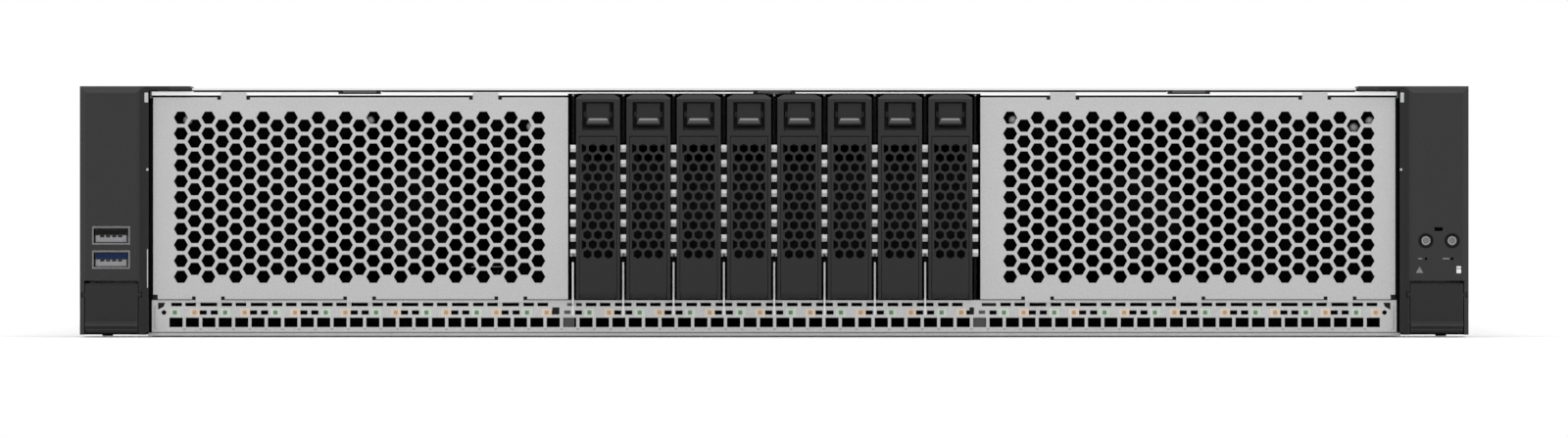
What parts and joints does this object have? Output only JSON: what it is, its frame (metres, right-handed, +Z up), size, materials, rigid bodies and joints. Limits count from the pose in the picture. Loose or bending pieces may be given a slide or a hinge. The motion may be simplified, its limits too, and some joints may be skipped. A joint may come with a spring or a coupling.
{
  "type": "rack server barebone",
  "caption": "Two-unit rack server barebone with hexagon vent panels, hot-swap drive carriers and black rack ears.",
  "frame": {"origin": "middle of the width, in the plane of the rack posts, on the underside", "axes": "+X to the right seen from the front, +Y into the machine, +Z up"},
  "size_m": [0.4826, 0.8012, 0.087],
  "materials": {
    "zinc_steel": "satin zinc-plated sheet",
    "black_steel": "satin black",
    "vent_steel": "satin light grey",
    "spring_steel": "bright plated",
    "light_guide": "frosted",
    "duct_plastic": "fine grain",
    "fan_plastic": "moulded",
    "board": "solder mask",
    "socket_plastic": "moulded",
    "ear_plastic": "fine grain",
    "button_plastic": "satin",
    "carrier_plastic": "fine grain",
    "supply_steel": "satin",
    "latch_plastic": "satin"
  },
  "bodies": {
    "chassis": {"chassis_base": "zinc_steel", "rear_panel": "zinc_steel", "bay_shelf": "zinc_steel", "left_vent_panel": "vent_steel", "right_vent_panel": "vent_steel", "bay_inserts": "duct_plastic", "drive_light_guides": "light_guide", "drive_cage": "zinc_steel", "contact_fingers": "spring_steel", "drive_backplane": "board", "main_board": "board", "board_sockets": "socket_plastic", "air_duct": "duct_plastic", "fan_bracket": "black_steel", "fan_frames": "fan_plastic", "riser_brackets": "zinc_steel", "riser_cards": "board", "slot_covers": "zinc_steel", "rear_ports": "spring_steel", "left_ear_cover": "ear_plastic", "right_ear_cover": "ear_plastic", "rack_screws": "spring_steel", "usb_sockets": "spring_steel"},
    "cover": {"top_cover": "zinc_steel"},
    "id_button": {"id_button": "button_plastic"},
    "power_button": {"power_button": "button_plastic"},
    "left_flap": {"left_ear_flap": "ear_plastic"},
    "right_flap": {"right_ear_flap": "ear_plastic"},
    "lower_supply": {"lower_supply": "supply_steel"},
    "lower_latch": {"lower_supply_latch": "latch_plastic"},
    "upper_supply": {"upper_supply": "supply_steel"},
    "upper_latch": {"upper_supply_latch": "latch_plastic"},
    "rotor_1": {"fan_rotor_1": "fan_plastic"},
    "rotor_2": {"fan_rotor_2": "fan_plastic"},
    "rotor_3": {"fan_rotor_3": "fan_plastic"},
    "rotor_4": {"fan_rotor_4": "fan_plastic"},
    "carrier_1": {"carrier_1": "carrier_plastic"},
    "lever_1": {"carrier_lever_1": "carrier_plastic"},
    "release_1": {"carrier_release_1": "carrier_plastic"},
    "carrier_2": {"carrier_2": "carrier_plastic"},
    "lever_2": {"carrier_lever_2": "carrier_plastic"},
    "release_2": {"carrier_release_2": "carrier_plastic"},
    "carrier_3": {"carrier_3": "carrier_plastic"},
    "lever_3": {"carrier_lever_3": "carrier_plastic"},
    "release_3": {"carrier_release_3": "carrier_plastic"},
    "carrier_4": {"carrier_4": "carrier_plastic"},
    "lever_4": {"carrier_lever_4": "carrier_plastic"},
    "release_4": {"carrier_release_4": "carrier_plastic"},
    "carrier_5": {"carrier_5": "carrier_plastic"},
    "lever_5": {"carrier_lever_5": "carrier_plastic"},
    "release_5": {"carrier_release_5": "carrier_plastic"},
    "carrier_6": {"carrier_6": "carrier_plastic"},
    "lever_6": {"carrier_lever_6": "carrier_plastic"},
    "release_6": {"carrier_release_6": "carrier_plastic"},
    "carrier_7": {"carrier_7": "carrier_plastic"},
    "lever_7": {"carrier_lever_7": "carrier_plastic"},
    "release_7": {"carrier_release_7": "carrier_plastic"},
    "carrier_8": {"carrier_8": "carrier_plastic"},
    "lever_8": {"carrier_lever_8": "carrier_plastic"},
    "release_8": {"carrier_release_8": "carrier_plastic"}
  },
  "joints": [
    {"name": "cover_lift", "type": "slide", "parent": "chassis", "child": "cover", "axis": [0, 0, 1], "range_m": [0, 0.12]},
    {"name": "id_button_press", "type": "slide", "parent": "chassis", "child": "id_button", "axis": [0, 1, 0], "range_m": [0, 0.0008], "stiffness_N_per_m": 400},
    {"name": "power_button_press", "type": "slide", "parent": "chassis", "child": "power_button", "axis": [0, 1, 0], "range_m": [0, 0.0008], "stiffness_N_per_m": 400},
    {"name": "left_flap_hinge", "type": "hinge", "parent": "chassis", "child": "left_flap", "pos_m": [-0.23025, -0.0306, 0.0145], "axis": [-1, 0, 0], "range_deg": [0, 75]},
    {"name": "right_flap_hinge", "type": "hinge", "parent": "chassis", "child": "right_flap", "pos_m": [0.23025, -0.0306, 0.0145], "axis": [-1, 0, 0], "range_deg": [0, 75]},
    {"name": "lower_supply_slide", "type": "slide", "parent": "chassis", "child": "lower_supply", "axis": [0, 1, 0], "range_m": [0, 0.19]},
    {"name": "lower_latch_press", "type": "hinge", "parent": "lower_supply", "child": "lower_latch", "pos_m": [-0.1424, 0.7215, 0.03335], "axis": [0, 0, 1], "range_deg": [0, 4], "stiffness_Nm_per_rad": 0.5},
    {"name": "upper_supply_slide", "type": "slide", "parent": "chassis", "child": "upper_supply", "axis": [0, 1, 0], "range_m": [0, 0.19]},
    {"name": "upper_latch_press", "type": "hinge", "parent": "upper_supply", "child": "upper_latch", "pos_m": [-0.1424, 0.7215, 0.07465], "axis": [0, 0, 1], "range_deg": [0, 4], "stiffness_Nm_per_rad": 0.5},
    {"name": "rotor_1_spin", "type": "hinge", "parent": "chassis", "child": "rotor_1", "pos_m": [-0.132, 0.1692, 0.0422], "axis": [0, 1, 0], "continuous": true},
    {"name": "rotor_2_spin", "type": "hinge", "parent": "chassis", "child": "rotor_2", "pos_m": [-0.044, 0.1692, 0.0422], "axis": [0, 1, 0], "continuous": true},
    {"name": "rotor_3_spin", "type": "hinge", "parent": "chassis", "child": "rotor_3", "pos_m": [0.044, 0.1692, 0.0422], "axis": [0, 1, 0], "continuous": true},
    {"name": "rotor_4_spin", "type": "hinge", "parent": "chassis", "child": "rotor_4", "pos_m": [0.132, 0.1692, 0.0422], "axis": [0, 1, 0], "continuous": true},
    {"name": "carrier_1_slide", "type": "slide", "parent": "chassis", "child": "carrier_1", "axis": [0, -1, 0], "range_m": [0, 0.12]},
    {"name": "lever_1_swing", "type": "hinge", "parent": "carrier_1", "child": "lever_1", "pos_m": [-0.06125, -0.0272, 0.01545], "axis": [1, 0, 0], "range_deg": [0, 55]},
    {"name": "release_1_press", "type": "slide", "parent": "carrier_1", "child": "release_1", "axis": [0, 1, 0], "range_m": [0, 0.0012], "stiffness_N_per_m": 300},
    {"name": "carrier_2_slide", "type": "slide", "parent": "chassis", "child": "carrier_2", "axis": [0, -1, 0], "range_m": [0, 0.12]},
    {"name": "lever_2_swing", "type": "hinge", "parent": "carrier_2", "child": "lever_2", "pos_m": [-0.04375, -0.0272, 0.01545], "axis": [1, 0, 0], "range_deg": [0, 55]},
    {"name": "release_2_press", "type": "slide", "parent": "carrier_2", "child": "release_2", "axis": [0, 1, 0], "range_m": [0, 0.0012], "stiffness_N_per_m": 300},
    {"name": "carrier_3_slide", "type": "slide", "parent": "chassis", "child": "carrier_3", "axis": [0, -1, 0], "range_m": [0, 0.12]},
    {"name": "lever_3_swing", "type": "hinge", "parent": "carrier_3", "child": "lever_3", "pos_m": [-0.02625, -0.0272, 0.01545], "axis": [1, 0, 0], "range_deg": [0, 55]},
    {"name": "release_3_press", "type": "slide", "parent": "carrier_3", "child": "release_3", "axis": [0, 1, 0], "range_m": [0, 0.0012], "stiffness_N_per_m": 300},
    {"name": "carrier_4_slide", "type": "slide", "parent": "chassis", "child": "carrier_4", "axis": [0, -1, 0], "range_m": [0, 0.12]},
    {"name": "lever_4_swing", "type": "hinge", "parent": "carrier_4", "child": "lever_4", "pos_m": [-0.00875, -0.0272, 0.01545], "axis": [1, 0, 0], "range_deg": [0, 55]},
    {"name": "release_4_press", "type": "slide", "parent": "carrier_4", "child": "release_4", "axis": [0, 1, 0], "range_m": [0, 0.0012], "stiffness_N_per_m": 300},
    {"name": "carrier_5_slide", "type": "slide", "parent": "chassis", "child": "carrier_5", "axis": [0, -1, 0], "range_m": [0, 0.12]},
    {"name": "lever_5_swing", "type": "hinge", "parent": "carrier_5", "child": "lever_5", "pos_m": [0.00875, -0.0272, 0.01545], "axis": [1, 0, 0], "range_deg": [0, 55]},
    {"name": "release_5_press", "type": "slide", "parent": "carrier_5", "child": "release_5", "axis": [0, 1, 0], "range_m": [0, 0.0012], "stiffness_N_per_m": 300},
    {"name": "carrier_6_slide", "type": "slide", "parent": "chassis", "child": "carrier_6", "axis": [0, -1, 0], "range_m": [0, 0.12]},
    {"name": "lever_6_swing", "type": "hinge", "parent": "carrier_6", "child": "lever_6", "pos_m": [0.02625, -0.0272, 0.01545], "axis": [1, 0, 0], "range_deg": [0, 55]},
    {"name": "release_6_press", "type": "slide", "parent": "carrier_6", "child": "release_6", "axis": [0, 1, 0], "range_m": [0, 0.0012], "stiffness_N_per_m": 300},
    {"name": "carrier_7_slide", "type": "slide", "parent": "chassis", "child": "carrier_7", "axis": [0, -1, 0], "range_m": [0, 0.12]},
    {"name": "lever_7_swing", "type": "hinge", "parent": "carrier_7", "child": "lever_7", "pos_m": [0.04375, -0.0272, 0.01545], "axis": [1, 0, 0], "range_deg": [0, 55]},
    {"name": "release_7_press", "type": "slide", "parent": "carrier_7", "child": "release_7", "axis": [0, 1, 0], "range_m": [0, 0.0012], "stiffness_N_per_m": 300},
    {"name": "carrier_8_slide", "type": "slide", "parent": "chassis", "child": "carrier_8", "axis": [0, -1, 0], "range_m": [0, 0.12]},
    {"name": "lever_8_swing", "type": "hinge", "parent": "carrier_8", "child": "lever_8", "pos_m": [0.06125, -0.0272, 0.01545], "axis": [1, 0, 0], "range_deg": [0, 55]},
    {"name": "release_8_press", "type": "slide", "parent": "carrier_8", "child": "release_8", "axis": [0, 1, 0], "range_m": [0, 0.0012], "stiffness_N_per_m": 300}
  ]
}
